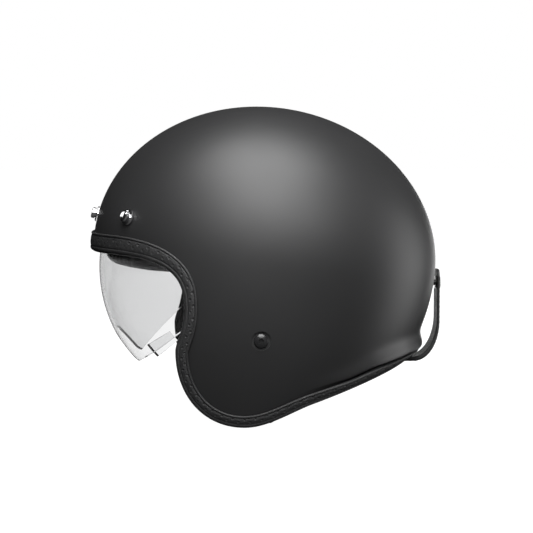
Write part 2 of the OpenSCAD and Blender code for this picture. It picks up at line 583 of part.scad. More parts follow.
module chin_strap_right() {
    color("#161617") mirror([1, 0, 0]) webbing(concat(strap_line, [[-2, -123.9]]));
}
sleeve_line = [[82, -106.2], [66, -113.5], [50, -118], [25, -122.5], [14, -123.4]];
sleeve_wall = 6;
sleeve_wide = 28;
module chin_strap_sleeve() {
    color("#1d1d1f") mirror([1, 0, 0]) difference() {
        webbing(sleeve_line, sleeve_wall, sleeve_wide);
        webbing([[86, -103], for (k = [10:14]) strap_line[k], [-6, -124]], chin_wall + 0.3, chin_width + 0.6);
    }
}
frame_wall = 1.2;             // sheet that the buckle is folded from
channel_low = 1.6;            // half height of the tongue's channel
frame_end = -buckle_length / 2;
frame_low = -channel_low - frame_wall;
pin_r = 1.5;
module across_buckle(r, h) { // a rod of length h on the pin's axis
    translate([frame_end + 6, h / 2, 4]) rotate([90, 0, 0]) cylinder(r = r, h = h, $fn = fine);
}
module buckle_frame() {
    color("#b9bbbe") in_buckle() difference() {
        union() {
            translate([frame_end, -buckle_wide / 2, frame_low])
                cube([buckle_length, buckle_wide, frame_wall]);
            for (y = [-buckle_wide / 2, buckle_wide / 2 - frame_wall])
                translate([frame_end, y, frame_low]) cube([buckle_length, frame_wall, 8.5]);
            translate([-frame_end - 6, -buckle_wide / 2, frame_low])
                cube([6, buckle_wide, 2 * channel_low + frame_wall]);
        }
        across_buckle(pin_r + 0.05, 2 * buckle_wide);
    }
}
module buckle_pin() color("silver") in_buckle() across_buckle(pin_r, buckle_wide + 0.6);
lever_wide = buckle_wide - 2 * frame_wall - 0.8;
module buckle_lever() {
    color("#2a2a2c") in_buckle() difference() {
        union() {
            across_buckle(pin_r + 1.1, lever_wide);
            translate([frame_end + 6, -lever_wide / 2, 4.6]) cube([32, lever_wide, 2]);
            translate([frame_end + 13, -7, 2.1]) cube([3, 14, 3]);
        }
        across_buckle(pin_r + 0.05, 2 * lever_wide);
    }
}
module buckle_release_tab() {
    color("#a3201c") in_buckle() translate([frame_end + 34, -6.5, 6.7]) cube([14, 13, 1]);
}
module buckle_spring() {
    color("silver") in_buckle() translate([frame_end + 24, 0, channel_low + 0.3]) difference() {
        cylinder(r = 2.4, h = 2.3, $fn = fine);
        translate([0, 0, -1]) cylinder(r = 1.7, h = 6, $fn = fine);
    }
}
tongue_wide = 18;
tongue_wall = 1.5;
tooth_pitch = 3;
module ratchet_tongue() {
    color("#e8e8e6") in_buckle() {
        translate([frame_end - 16, -tongue_wide / 2, -0.9]) cube([40, tongue_wide, tongue_wall]);
        for (k = [0:8])
            translate([frame_end - 4 + k * tooth_pitch, -tongue_wide / 2 + 3, tongue_wall - 0.95])
                cube([tooth_pitch - 1.4, tongue_wide - 6, 0.7]);
    }
}

outer_shell();
edge_trim();
impact_liner();
crown_pad();
brow_pad();
neck_roll();
cheek_block_left();
cheek_block_right();
cheek_pad_left();
cheek_pad_right();
cheek_pad_studs();
crown_pad_studs();
visor_lens();
visor_grip();
visor_pivot_left();
visor_pivot_right();
visor_wave_washers();
visor_pivot_screws();
brow_snap_studs();
brow_snap_nuts();
rear_snap_post();
rear_snap_nut();
goggle_strap();
goggle_strap_tab();
goggle_snap_socket();
goggle_snap_cap();
anchor_bolt_left();
anchor_bolt_right();
anchor_spacers();
anchor_nuts();
anchor_plate_left();
anchor_plate_right();
chin_strap_left();
chin_strap_right();
chin_strap_sleeve();
buckle_frame();
buckle_pin();
buckle_lever();
buckle_release_tab();
buckle_spring();
ratchet_tongue();
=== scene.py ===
import json
import math

import bmesh
import bpy
import numpy as np
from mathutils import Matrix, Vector


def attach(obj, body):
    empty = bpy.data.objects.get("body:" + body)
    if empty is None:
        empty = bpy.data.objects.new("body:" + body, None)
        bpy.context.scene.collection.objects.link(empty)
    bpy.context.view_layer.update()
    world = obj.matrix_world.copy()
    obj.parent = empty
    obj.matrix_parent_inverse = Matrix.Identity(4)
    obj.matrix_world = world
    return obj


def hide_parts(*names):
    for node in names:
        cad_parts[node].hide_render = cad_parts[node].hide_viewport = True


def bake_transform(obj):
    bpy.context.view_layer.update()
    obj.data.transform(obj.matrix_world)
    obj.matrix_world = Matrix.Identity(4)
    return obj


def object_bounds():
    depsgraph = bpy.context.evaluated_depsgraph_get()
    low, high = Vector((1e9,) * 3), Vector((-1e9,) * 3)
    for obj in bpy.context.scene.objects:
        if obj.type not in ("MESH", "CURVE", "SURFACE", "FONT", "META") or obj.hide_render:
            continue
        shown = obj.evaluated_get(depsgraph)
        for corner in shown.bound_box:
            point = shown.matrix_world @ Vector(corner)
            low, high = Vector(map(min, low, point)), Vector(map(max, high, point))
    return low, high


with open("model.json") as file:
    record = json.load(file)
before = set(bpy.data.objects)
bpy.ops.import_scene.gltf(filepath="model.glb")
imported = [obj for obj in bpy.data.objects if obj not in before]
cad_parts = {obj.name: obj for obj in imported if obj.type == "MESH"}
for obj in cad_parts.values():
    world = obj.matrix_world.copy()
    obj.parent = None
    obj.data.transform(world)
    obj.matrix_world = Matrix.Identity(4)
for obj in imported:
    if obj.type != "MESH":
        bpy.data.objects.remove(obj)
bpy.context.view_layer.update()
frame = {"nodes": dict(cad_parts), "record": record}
NODES = frame["nodes"]
MM = 0.001

# ---------------------------------------------------------------- the helmet's surface, in millimetres
# An oval, tipped back by TILT about the height TILT_Z. Under its middle it reaches down by NAPE_DROP behind and by
# CHEEK_DROP in front, and FULL fills out its sides.
HALF_LENGTH, HALF_WIDTH, CROWN = 134.5, 116.0, 115.0
NAPE_DROP, CHEEK_DROP, FULL = 150.0, 230.0, 0.10
TILT, TILT_Z = math.radians(8.7), 1.0
CT, ST = math.cos(TILT), math.sin(TILT)
WALL = 3.5


def tip(y, z):
    """A side view place in the oval's own frame."""
    return CT * y - ST * (z - TILT_Z), ST * y + CT * (z - TILT_Z)


def untip(y, z):
    """A place in the oval's own frame as a side view point [Y, Z]."""
    return np.stack([CT * y + ST * z, TILT_Z - ST * y + CT * z], -1)


def section(ty, tz):
    """Half width and squared spread of the oval section at a place in the tipped frame."""
    low = tz < 0
    w = np.where(low, HALF_WIDTH * np.sqrt(np.clip(1 - (tz / CHEEK_DROP) ** 2, 0, 1)), HALF_WIDTH)
    drop = np.where(ty > 0, NAPE_DROP, CHEEK_DROP)
    length = HALF_LENGTH * np.sqrt(np.clip(1 - (tz / drop) ** 2, 1e-6, 1))
    r = np.where(low, (ty / length) ** 2, (ty / HALF_LENGTH) ** 2 + (tz / CROWN) ** 2)
    return w, r


def level(p):
    """0 on the surface, more outside it and less inside."""
    w, r = section(*tip(p[..., 1], p[..., 2]))
    return (p[..., 0] / (w * (1 + FULL * r))) ** 2 + r - 1


def slope(p):
    h = 0.01
    return np.stack([(level(p + h * e) - level(p - h * e)) / (2 * h) for e in np.eye(3)], -1)


def unit(v):
    return v / np.linalg.norm(v, axis=-1, keepdims=True)


def normal(p):
    return unit(slope(p))


def on_shell(p, steps=4):
    """The surface's points near the points p."""
    for _ in range(steps):
        g = slope(p)
        p = p - g * (level(p) / (g * g).sum(-1))[..., None]
    return p


def at(q):
    """Points on the surface over side view points [Y, Z]."""
    w, r = section(*tip(q[..., 0], q[..., 1]))
    r = np.minimum(1, r)
    return np.stack([w * np.sqrt(1 - r) * (1 + FULL * r), q[..., 0], q[..., 1]], -1)


def centre_line(degrees):
    """Side view points of the surface's middle line: 0 is the back, 90 the crown and 180 the front."""
    a = np.radians(np.asarray(degrees, float))
    drop = np.where(np.cos(a) > 0, NAPE_DROP, CHEEK_DROP)
    return untip(HALF_LENGTH * np.cos(a), np.where(np.sin(a) >= 0, CROWN, drop) * np.sin(a))


def centre_angle(q):
    ty, tz = tip(q[0], q[1])
    drop = CROWN if tz >= 0 else (NAPE_DROP if ty > 0 else CHEEK_DROP)
    a = math.degrees(math.atan2(tz / drop, ty / HALF_LENGTH))
    return a + 360 if a < -90 else a


def smooth(t):
    q = np.clip(t, 0, 1)
    return q * q * (3 - 2 * q)


def chain_at(chain, s):
    """Points of a chain of cubic curves at the places s: 1.5 is half way along the second curve."""
    s = np.asarray(s, float)
    k = np.minimum(len(chain) - 1, np.floor(s)).astype(int)
    t = (s - k)[..., None]
    c = np.array(chain, float)[k]
    return ((1 - t) ** 3 * c[..., 0, :] + 3 * (1 - t) ** 2 * t * c[..., 1, :]
            + 3 * (1 - t) * t * t * c[..., 2, :] + t ** 3 * c[..., 3, :])


def straight(a, b):
    """A straight line as a cubic curve."""
    a, b = np.array(a, float), np.array(b, float)
    return [a, a + (b - a) / 3, a + (b - a) * 2 / 3, b]


# The edges of the left half in the side view, from the brow to the nape.
BROW, NAPE = centre_line(183.2), centre_line(-22.8)
SHELL_EDGE = [[BROW, (-100, 10.5), (-62.2, 8), (-61.6, -28)],
              [(-61.6, -28), (-60.2, -46), (-68, -58), (-68, -64)],
              [(-68, -64), (-68, -94), (-50, -118), (-20, -118)],
              [(-20, -118), (-3, -118), (14, -106.5), (30, -101.5)],
              straight((30, -101.5), NAPE)]
LINER_NAPE = centre_line(-14)
LINER_EDGE = [[BROW, (-100, 10.5), (-56, 9), (-54, -20)],
              [(-54, -20), (-54, -34), (-50, -44), (-38, -46)],
              straight((-38, -46), (40, -50)),
              straight((40, -50), LINER_NAPE)]
CROWN_LOW = math.degrees(math.asin(30 / CROWN))
CROWN_FRONT, CROWN_BACK = centre_line(180 - CROWN_LOW), centre_line(CROWN_LOW)
CROWN_CUTS = [CROWN_FRONT, *(CROWN_FRONT + (CROWN_BACK - CROWN_FRONT) * share for share in (0.3, 0.7)), CROWN_BACK]
CROWN_EDGE = [straight(a, b) for a, b in zip(CROWN_CUTS[:-1], CROWN_CUTS[1:])]

# Stations bunch up towards one end of a curve, as the sine's values do over this sweep of angles.
RISE_FROM, RISE_SWEEP = -55, 145
RISE_LOW = math.sin(math.radians(RISE_FROM))


def rise(t):
    return (np.sin(np.radians(RISE_FROM + RISE_SWEEP * np.asarray(t, float))) - RISE_LOW) / (1 - RISE_LOW)


def rise_back(r):
    """The share t that rise(t) turns into r."""
    return (np.degrees(np.arcsin(np.clip(r * (1 - RISE_LOW) + RISE_LOW, -1, 1))) - RISE_FROM) / RISE_SWEEP


def half_edge(chain, a, b, m, n):
    """An edge's left half on the surface: m steps up to the chain place a, n steps on to b and m steps to its end."""
    s = np.concatenate([a * (1 - rise(np.arange(m, -1, -1) / m)), a + (b - a) * np.arange(1, n + 1) / n,
                        b + (len(chain) - b) * rise(np.arange(1, m + 1) / m)])
    s[-1] = len(chain)
    p = at(chain_at(chain, s))
    p[0, 0] = p[-1, 0] = 0
    return p


def mirrored(p):
    return p * np.array([-1, 1, 1])


def along(p):
    """Directions along a half edge that goes on, mirrored, past both its ends."""
    before = np.concatenate([mirrored(p[1:2]), p[:-1]])
    after = np.concatenate([p[1:], mirrored(p[-2:-1])])
    return unit(after - before)


def inset(p, t, d):
    """Points of the surface that lie d inside an edge with the directions t."""
    return on_shell(p - unit(np.cross(t, normal(p))) * d)


# ---------------------------------------------------------------- meshes
def new_object(name, verts, faces):
    """A mesh object from points in millimetres."""
    mesh = bpy.data.meshes.new(name)
    mesh.from_pydata((np.asarray(verts, float) * MM).tolist(), [], [list(map(int, f)) for f in faces])
    mesh.validate()
    obj = bpy.data.objects.new(name, mesh)
    bpy.context.scene.collection.objects.link(obj)
    return obj


def outward(obj):
    bm = bmesh.new()
    bm.from_mesh(obj.data)
    bmesh.ops.recalc_face_normals(bm, faces=bm.faces)
    bm.to_mesh(obj.data)
    bm.free()
    return obj


def shade(obj, angle):
    """Smooth shading, with edges sharp past an angle in degrees."""
    obj.data.polygons.foreach_set("use_smooth", [True] * len(obj.data.polygons))
    obj.data.set_sharp_from_angle(angle=math.radians(angle))
    return obj


def baked(obj):
    """The object's mesh with its modifiers applied."""
    bpy.context.view_layer.update()
    mesh = bpy.data.meshes.new_from_object(obj.evaluated_get(bpy.context.evaluated_depsgraph_get()))
    obj.modifiers.clear()
    obj.data = mesh
    return obj


def cap(name, chain, a, b, m, n, out_rings, in_rings, out, inner):
    """A closed cap between two offsets of the surface, as in the CAD but finer. Its edge has the corners a and b and
    the steps m, n, m on each side; out_rings and in_rings are the distances from the edge at which the offsets out
    and inner are taken, and past the last one a patch fills each skin."""
    edge = half_edge(chain, a, b, m, n)
    t = along(edge)
    h = 2 * m + n

    def skin(rings, offset):
        grids = []
        for d in rings:
            p = inset(edge, t, d) if d else edge
            if d == rings[-1]:
                last = p
                break
            q = p + normal(p) * offset(p, d)[:, None]
            grids.append(np.concatenate([q, mirrored(q[h - 1:0:-1])]))
        flat = last[:, 1:]
        u = (np.arange(n + 1) / n)[:, None, None]
        v = rise(np.arange(m + 1) / m)[None, :, None]
        a0, a1 = centre_angle(flat[0]), centre_angle(flat[-1])
        top = centre_line(a0 + (a1 - a0) * np.arange(n + 1) / n)[:, None, :]
        front, rear, low = flat[m::-1][None], flat[m + n:][None], flat[m:m + n + 1][:, None]
        q = ((1 - u) * front + u * rear + (1 - v) * low + v * top - (1 - u) * (1 - v) * flat[m]
             - u * (1 - v) * flat[m + n] - (1 - u) * v * flat[0] - u * v * flat[-1])
        p = at(q)
        p[:, -1, 0] = 0
        p = p + normal(p) * offset(p, rings[-1])[..., None]
        core = np.concatenate([p, mirrored(p[:, m - 1::-1])], 1)
        return grids, core

    verts, faces, rims = [], [], []
    count = 0
    ring_n, cols = 2 * h, 2 * m + 1
    k = np.arange(ring_n)
    q = np.where(k <= h, k, ring_n - k)
    i = np.where(q <= m, 0, np.where(q <= m + n, q - m, n))
    j = np.where(q <= m, m - q, np.where(q <= m + n, 0, q - m - n))
    core_index = i * cols + np.where(k <= h, j, 2 * m - j)
    for rings, offset, flip in ((out_rings, out, False), (in_rings, inner, True)):
        grids, core = skin(rings, offset)
        index = []
        for g in grids:
            verts.append(g)
            index.append(count + k)
            count += len(g)
        verts.append(core.reshape(-1, 3))
        index.append(count + core_index)
        quads = []
        for r0, r1 in zip(index[:-1], index[1:]):
            quads.append(np.stack([r0, np.roll(r0, -1), np.roll(r1, -1), r1], 1))
        cells = count + (np.arange(n)[:, None] * cols + np.arange(2 * m)[None]).ravel()
        quads.append(np.stack([cells + cols, cells + cols + 1, cells + 1, cells], 1))
        count += core.shape[0] * core.shape[1]
        quads = np.concatenate(quads)
        faces.append(quads[:, ::-1] if not flip else quads)
        rims.append(index[0])
    r0, r1 = rims
    faces.append(np.stack([r0, np.roll(r0, -1), np.roll(r1, -1), r1], 1))
    return outward(new_object(name, np.concatenate(verts), np.concatenate(faces)))


def rounded_off(points, rounds, closed=True):
    """Points with their corners cut by a quarter, rounds times over."""
    p = np.asarray(points, float)
    for _ in range(rounds):
        nxt = np.roll(p, -1, 0) if closed else p[1:]
        cur = p if closed else p[:-1]
        q = np.stack([cur * 0.75 + nxt * 0.25, cur * 0.25 + nxt * 0.75], 1).reshape(-1, p.shape[1])
        p = q if closed else np.concatenate([p[:1], q, p[-1:]])
    return p


def tube_faces(rows, around, closed=False):
    """Faces of rings of points, with flat ends unless the last ring joins the first."""
    i = np.arange(rows if closed else rows - 1)[:, None]
    j = np.arange(around)[None]
    corners = [((i + di) % rows) * around + (j + dj) % around for di, dj in ((0, 0), (1, 0), (1, 1), (0, 1))]
    faces = np.stack(corners, -1).reshape(-1, 4).tolist()
    if not closed:
        faces += [list(range(around)), list(range((rows - 1) * around, rows * around))]
    return faces


def plate_faces(rows, cols):
    """Faces of a grid of points, of a second grid behind it, and of the rim that joins them."""
    i, j = np.meshgrid(np.arange(rows - 1), np.arange(cols - 1), indexing="ij")
    a = (i * cols + j).ravel()
    front = np.stack([a, a + cols, a + cols + 1, a + 1], 1)
    loop = np.concatenate([np.arange(rows) * cols, (rows - 1) * cols + np.arange(1, cols),
                           np.arange(rows - 2, -1, -1) * cols + cols - 1, np.arange(cols - 2, 0, -1)])
    nxt = np.roll(loop, -1)
    behind = rows * cols
    return np.concatenate([front, front[:, ::-1] + behind, np.stack([loop, nxt, nxt + behind, loop + behind], 1)])


def ring_points(p, t, shapes):
    """The outline's points at each station of a path; shapes holds [offset, inset] pairs for each station."""
    n0 = normal(p)
    m = unit(np.cross(t, n0))
    q = on_shell(p[:, None] - m[:, None] * shapes[..., 1:2])
    return q + normal(q) * shapes[..., :1]


def edge_bar(name, p, shapes, closed):
    """A bar along the half path p and its mirror image, either a ring or a bar across the middle."""
    half = ring_points(p, along(p), shapes)
    if closed:
        rows = np.concatenate([half, mirrored(half[-2:0:-1])])
    else:
        rows = np.concatenate([mirrored(half[:0:-1]), half])
    return outward(new_object(name, rows.reshape(-1, 3), tube_faces(*rows.shape[:2], closed)))


def cylinder_on(obj, operation, x, y, z, radius, depth, sides):
    """Adds a cylinder along X to an object, or cuts one out of it."""
    bpy.ops.mesh.primitive_cylinder_add(vertices=sides, radius=radius * MM, depth=depth * MM,
                                        location=(x * MM, y * MM, z * MM), rotation=(0, math.pi / 2, 0))
    tool = bpy.context.object
    mod = obj.modifiers.new("cylinder", "BOOLEAN")
    mod.operation, mod.object, mod.solver = operation, tool, "EXACT"
    baked(obj)
    bpy.data.objects.remove(tool)


# ---------------------------------------------------------------- materials
def math_node(tree, operation, a, b):
    """A math node's output; a and b are numbers or sockets."""
    n = tree.nodes.new("ShaderNodeMath")
    n.operation = operation
    for socket, value in zip(n.inputs, (a, b)):
        if isinstance(value, (int, float)):
            socket.default_value = value
        else:
            tree.links.new(value, socket)
    return n.outputs[0]


class Paint:
    """A Principled material with small helpers for procedural detail in metres."""

    def __init__(self, name, color, rough, **sockets):
        self.mat = bpy.data.materials.new(name)
        self.mat.use_nodes = True
        self.tree = self.mat.node_tree
        self.bsdf = self.tree.nodes["Principled BSDF"]
        self.color, self.rough = color, rough
        self.set("Base Color", (*color, 1))
        self.set("Roughness", rough)
        for key, value in sockets.items():
            self.set(key.replace("_", " "), value)
        self.coords = None
        self.bumps = []

    def set(self, socket, value):
        self.bsdf.inputs[socket].default_value = value

    def node(self, kind, **values):
        n = self.tree.nodes.new(kind)
        for key, value in values.items():
            if hasattr(n, key):
                setattr(n, key, value)
            else:
                n.inputs[key.replace("_", " ")].default_value = value
        return n

    def link(self, a, b):
        self.tree.links.new(a, b)

    def position(self):
        if self.coords is None:
            self.coords = self.node("ShaderNodeTexCoord").outputs["Object"]
        return self.coords

    def noise(self, scale, detail):
        n = self.node("ShaderNodeTexNoise", Scale=scale, Detail=detail, Roughness=0.55)
        self.link(self.position(), n.inputs["Vector"])
        return n.outputs["Fac"]

    def cells(self, scale):
        """The distance from the borders of random cells."""
        n = self.node("ShaderNodeTexVoronoi", feature="DISTANCE_TO_EDGE", Scale=scale)
        self.link(self.position(), n.inputs["Vector"])
        return n.outputs["Distance"]

    def wave(self, scale, direction, distort=0.0):
        n = self.node("ShaderNodeTexWave", bands_direction=direction, Scale=scale, Distortion=distort)
        self.link(self.position(), n.inputs["Vector"])
        return n.outputs["Fac"]

    def ramp(self, fac, low, high, start, stop):
        """Turns start to stop into low to high."""
        n = self.node("ShaderNodeMapRange")
        n.inputs["From Min"].default_value, n.inputs["From Max"].default_value = start, stop
        n.inputs["To Min"].default_value, n.inputs["To Max"].default_value = low, high
        self.link(fac, n.inputs["Value"])
        return n.outputs["Result"]

    def math(self, operation, a, b):
        return math_node(self.tree, operation, a, b)

    def tint(self, fac, other):
        """Mixes the colour with another where fac is high."""
        mix = self.node("ShaderNodeMix", data_type="RGBA")
        mix.inputs["A"].default_value = (*self.color, 1)
        mix.inputs["B"].default_value = (*other, 1)
        self.link(self.ramp(fac, 0, 1, 0.3, 0.7), mix.inputs["Factor"])
        self.link(mix.outputs["Result"], self.bsdf.inputs["Base Color"])
        return self

    def roughen(self, fac, spread, start=0.3, stop=0.7):
        varied = self.ramp(fac, self.rough - spread, self.rough + spread, start, stop)
        self.link(varied, self.bsdf.inputs["Roughness"])
        return self

    def bump(self, fac, distance, strength):
        n = self.node("ShaderNodeBump", Strength=strength, Distance=distance)
        self.link(fac, n.inputs["Height"])
        if self.bumps:
            self.link(self.bumps[-1].outputs["Normal"], n.inputs["Normal"])
        self.bumps.append(n)
        self.link(n.outputs["Normal"], self.bsdf.inputs["Normal"])
        return self


def lighter(color, times):
    return tuple(c * times for c in color)


def shell_paint():
    m = Paint("shell_paint", (0.011, 0.011, 0.0114), 0.5, Specular_IOR_Level=0.5)
    m.tint(m.noise(9, 2), (0.013, 0.013, 0.0135))
    m.roughen(m.noise(14, 3), 0.02)
    m.bump(m.noise(2600, 2), 0.00002, 0.5)
    return m.mat


def leather(name, color, rough, grain, depth=0.00012):
    m = Paint(name, color, rough, Specular_IOR_Level=0.45)
    m.tint(m.noise(grain * 0.12, 4), lighter(color, 1.5))
    m.roughen(m.cells(grain), 0.1, 0.0, 0.25)
    m.bump(m.ramp(m.cells(grain), 0, 1, 0, 0.18), depth, 0.7)
    m.bump(m.noise(grain * 2.5, 3), depth * 0.4, 0.4)
    return m.mat


def knit(name, color):
    pitch = 620
    m = Paint(name, color, 0.85, Sheen_Weight=0.25, Sheen_Roughness=0.5, Specular_IOR_Level=0.25)
    weave = m.math("MULTIPLY", m.wave(pitch, "DIAGONAL"), m.wave(pitch * 0.8, "Z", distort=1.5))
    m.tint(m.noise(160, 4), lighter(color, 1.7))
    m.bump(weave, 0.0003, 0.8)
    m.bump(m.noise(3200, 2), 0.0001, 0.5)
    return m.mat


def webbing(name, color):
    rib = 900
    m = Paint(name, color, 0.7, Sheen_Weight=0.15, Specular_IOR_Level=0.35)
    m.tint(m.noise(500, 3), lighter(color, 1.6))
    cross = m.math("ADD", m.wave(rib, "Y"), m.math("MULTIPLY", m.wave(rib * 0.8, "X"), 0.6))
    m.bump(cross, 0.0002, 0.9)
    return m.mat


def foam(name, color):
    m = Paint(name, color, 0.8, Specular_IOR_Level=0.3)
    beads = m.cells(330)
    m.tint(m.noise(70, 3), lighter(color, 1.5))
    m.roughen(beads, 0.1, 0, 0.2)
    m.bump(m.ramp(beads, 0, 1, 0, 0.15), 0.0002, 0.6)
    return m.mat


def moulded(name, color, rough=0.5):
    m = Paint(name, color, rough)
    m.tint(m.noise(220, 3), lighter(color, 1.25))
    m.roughen(m.noise(90, 3), 0.06)
    m.bump(m.noise(4200, 2), 0.00003, 0.5)
    return m.mat


def metal(name, color, rough, brushed=True):
    m = Paint(name, color, rough, Metallic=1.0)
    m.tint(m.noise(120, 3), lighter(color, 0.9))
    m.roughen(m.noise(700, 4), rough * 0.3)
    if brushed:
        m.bump(m.wave(1600, "Z", distort=3), 0.00001, 0.3)
    return m.mat


def visor_clear():
    return Paint("visor_clear", (0.775, 0.777, 0.78), 0.0, Transmission_Weight=1.0, IOR=1.22).mat


MATS = {
    "shell_paint": shell_paint(),
    "trim_leather": leather("trim_leather", (0.016, 0.016, 0.0165), 0.5, grain=1300),
    "liner_foam": foam("liner_foam", (0.022, 0.022, 0.023)),
    "pad_fabric": knit("pad_fabric", (0.02, 0.02, 0.021)),
    "pad_leather": leather("pad_leather", (0.009, 0.009, 0.0095), 0.4, grain=900, depth=0.0002),
    "black_plastic": moulded("black_plastic", (0.02, 0.02, 0.02)),
    "visor_clear": visor_clear(),
    "plain_steel": metal("plain_steel", (0.36, 0.36, 0.355), 0.4),
    "bright_chrome": metal("bright_chrome", (0.9, 0.9, 0.91), 0.07, brushed=False),
    "black_metal": moulded("black_metal", (0.012, 0.012, 0.0125), 0.18),
    "strap_leather": leather("strap_leather", (0.009, 0.009, 0.0092), 0.5, grain=1100),
    "white_plastic": moulded("white_plastic", (0.72, 0.72, 0.7), 0.4),
    "webbing": webbing("webbing", (0.018, 0.018, 0.019)),
    "red_webbing": webbing("red_webbing", (0.38, 0.02, 0.02)),
    "thread": moulded("thread", (0.05, 0.05, 0.052), 0.45),
}
for part in frame["record"]["subparts"]:
    node = NODES[part["node"]]
    node.data.materials.clear()
    node.data.materials.append(MATS[part["material_slot"]])
    shade(node, 30)


def finished(obj, slot, replaced, mat):
    """Gives a piece the material of its slot, or mat where one is given, and hides the CAD nodes that it stands for."""
    obj.data.materials.clear()
    obj.data.materials.append(MATS[mat or slot])
    if replaced:
        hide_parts(*replaced)


def dress(obj, body, slot, *replaced, mat=None):
    """Finishes a piece that moves with one body."""
    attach(obj, body)
    finished(obj, slot, replaced, mat)


def bend(obj, joint, slot, *replaced, mat=None):
    """Finishes a piece with its place baked into its mesh; the piece does not bend, and joint is not used."""
    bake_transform(obj)
    finished(obj, slot, replaced, mat)


# ---------------------------------------------------------------- camera, lights and floor
TARGET = Vector((0, 0.0014, -0.00906))
YAW, PITCH, REACH = math.radians(3.0), math.radians(4.5), 1.5
LENS, SENSOR = 128.67, 36
BACK = Vector((math.cos(YAW) * math.cos(PITCH), -math.sin(YAW) * math.cos(PITCH), math.sin(PITCH)))
camera_data = bpy.data.cameras.new("camera")
camera_data.lens, camera_data.sensor_width = LENS, SENSOR
camera = bpy.data.objects.new("camera", camera_data)
bpy.context.scene.collection.objects.link(camera)
camera.location = TARGET + BACK * REACH
camera.rotation_mode = "QUATERNION"
camera.rotation_quaternion = (-BACK).to_track_quat("-Z", "Y")
bpy.context.scene.camera = camera


def area(name, place, size, tall, energy):
    """A soft oval light that faces the helmet's middle."""
    data = bpy.data.lights.new(name, "AREA")
    data.shape, data.size, data.size_y, data.energy = "ELLIPSE", size, tall, energy
    lamp = bpy.data.objects.new(name, data)
    bpy.context.scene.collection.objects.link(lamp)
    lamp.location = place
    lamp.rotation_mode = "QUATERNION"
    lamp.rotation_quaternion = (Vector((0, 0, 0)) - Vector(place)).to_track_quat("-Z", "Y")
    return lamp


area("key_light", (0.48, 0.0, 1.38), 1.25, 1.5, 42)
area("fill_light", (1.4, 0.05, 0.92), 1.3, 1.0, 28)
area("rear_light", (-0.12, 1.5, -0.05), 1.1, 1.4, 12.5)
area("stud_card", (-0.31, -1.19, 0.43), 0.22, 0.22, 0.22)
far_light = area("far_light", (-1.3, 0.4, -0.12), 1.0, 0.5, 5)
far_light.visible_camera = far_light.visible_transmission = False

world = bpy.data.worlds.new("studio")
bpy.context.scene.world = world
world.use_nodes = True
sky = world.node_tree
sky.nodes.clear()
path = sky.nodes.new("ShaderNodeLightPath").outputs


def glow(color, strength):
    n = sky.nodes.new("ShaderNodeBackground")
    n.inputs["Color"].default_value = (*color, 1)
    if isinstance(strength, (int, float)):
        n.inputs["Strength"].default_value = strength
    else:
        sky.links.new(strength, n.inputs["Strength"])
    return n.outputs[0]


# White behind the object and through the visor, and a dim room that is darkest in front for everything else.
bounces = math_node(sky, "ADD", path["Diffuse Depth"], path["Glossy Depth"])
direct = math_node(sky, "LESS_THAN", bounces, 0.5)
through = math_node(sky, "MULTIPLY", path["Is Transmission Ray"], direct)
seen = math_node(sky, "MAXIMUM", path["Is Camera Ray"], through)
ways = sky.nodes.new("ShaderNodeSeparateXYZ")
sky.links.new(sky.nodes.new("ShaderNodeTexCoord").outputs["Generated"], ways.inputs[0])
room = sky.nodes.new("ShaderNodeMapRange")
for socket, value in (("From Min", -0.8), ("From Max", 1.2), ("To Min", 0.008), ("To Max", 0.15)):
    room.inputs[socket].default_value = value
behind = math_node(sky, "MULTIPLY", ways.outputs["Y"], 0.6)
sky.links.new(math_node(sky, "ADD", ways.outputs["X"], behind), room.inputs["Value"])
mix = sky.nodes.new("ShaderNodeMixShader")
for socket, value in zip(mix.inputs, (seen, glow((1, 1, 1), room.outputs["Result"]), glow((1, 1, 1), 1.0))):
    sky.links.new(value, socket)
sky.links.new(mix.outputs[0], sky.nodes.new("ShaderNodeOutputWorld").inputs[0])
bpy.context.scene.view_settings.view_transform = "Standard"

# ---------------------------------------------------------------- shell
# A lip stands out above the trim, from the middle of the side to the nape. It is LIP high, its crest is LIP_AT from the
# edge and LIP_CLIMB more beside the nape, and it fades over LIP_ABOVE above the crest and LIP_BELOW under it.
LIP, LIP_AT, LIP_CLIMB, LIP_ABOVE, LIP_BELOW = 6.2, 9.5, 3, 6.5, 1.4


def lip_share(p):
    return smooth((p[..., 1] - 15) / 105)


def climb(p):
    y = p[..., 1]
    return LIP_CLIMB * smooth((y - 55) / 25) * (1 - smooth((y - 98) / 20))


def lip(p, d):
    e = np.asarray(d, float) - LIP_AT - climb(p)
    return LIP * lip_share(p) * np.exp(-(e / np.where(e > 0, LIP_ABOVE, LIP_BELOW)) ** 2)


OUT_RINGS = [0, 3, 5.5, 6.8, 7.6, 8.2, 8.8, 9.5, 10.2, 11, 11.7, 12.5, 13.5, 15, 17, 19.5, 22, 25, 28]
IN_RINGS = [0, 3, 9, 18, 28]
SIDE_FROM, SIDE_TO = 2.6, 4.0
shell = cap("shell_visual", SHELL_EDGE, SIDE_FROM, SIDE_TO, 56, 84, OUT_RINGS, IN_RINGS,
            lip, lambda p, d: lip(p, d) * 0.5 - WALL)
ANCHOR, RECESS_R, RECESS_DEPTH = np.array([112.4, -8.3, -54.9]), 7.2, 8
for side in (1, -1):
    cylinder_on(shell, "DIFFERENCE", side * (ANCHOR[0] + 2.4), ANCHOR[1], ANCHOR[2], RECESS_R, RECESS_DEPTH, 64)
shade(shell, 30)
dress(shell, "helmet", "shell_paint", "outer_shell")

